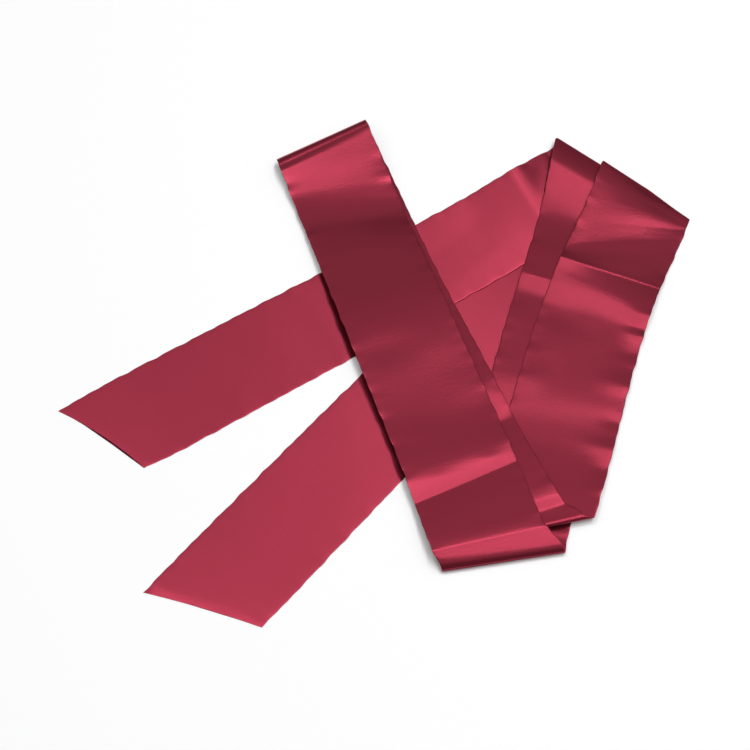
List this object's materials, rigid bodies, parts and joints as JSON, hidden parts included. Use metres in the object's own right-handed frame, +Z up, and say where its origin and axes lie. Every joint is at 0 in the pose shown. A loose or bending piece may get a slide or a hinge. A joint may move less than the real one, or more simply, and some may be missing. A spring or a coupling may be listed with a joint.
{
  "type": "sash belt",
  "caption": "Long satin sash belt with slanted ends, laid down loosely folded so that its tails cross under a diagonal band.",
  "frame": {"origin": "centre of the laid sash in plan, on the surface it lies on", "axes": "+Z up from the surface, +X to the right of the laid sash, +Y away from a viewer who sees both tails at the lower left"},
  "size_m": [0.5982, 0.561, 0.0106],
  "materials": {
    "satin": "dark red polyester satin, soft sheen across the folds"
  },
  "bodies": {
    "root": {"upper_tail": "satin", "inner_right_band": "satin", "diagonal_band": "satin", "under_diagonal_band": "satin", "right_band": "satin", "lower_tail": "satin"}
  },
  "joints": []
}
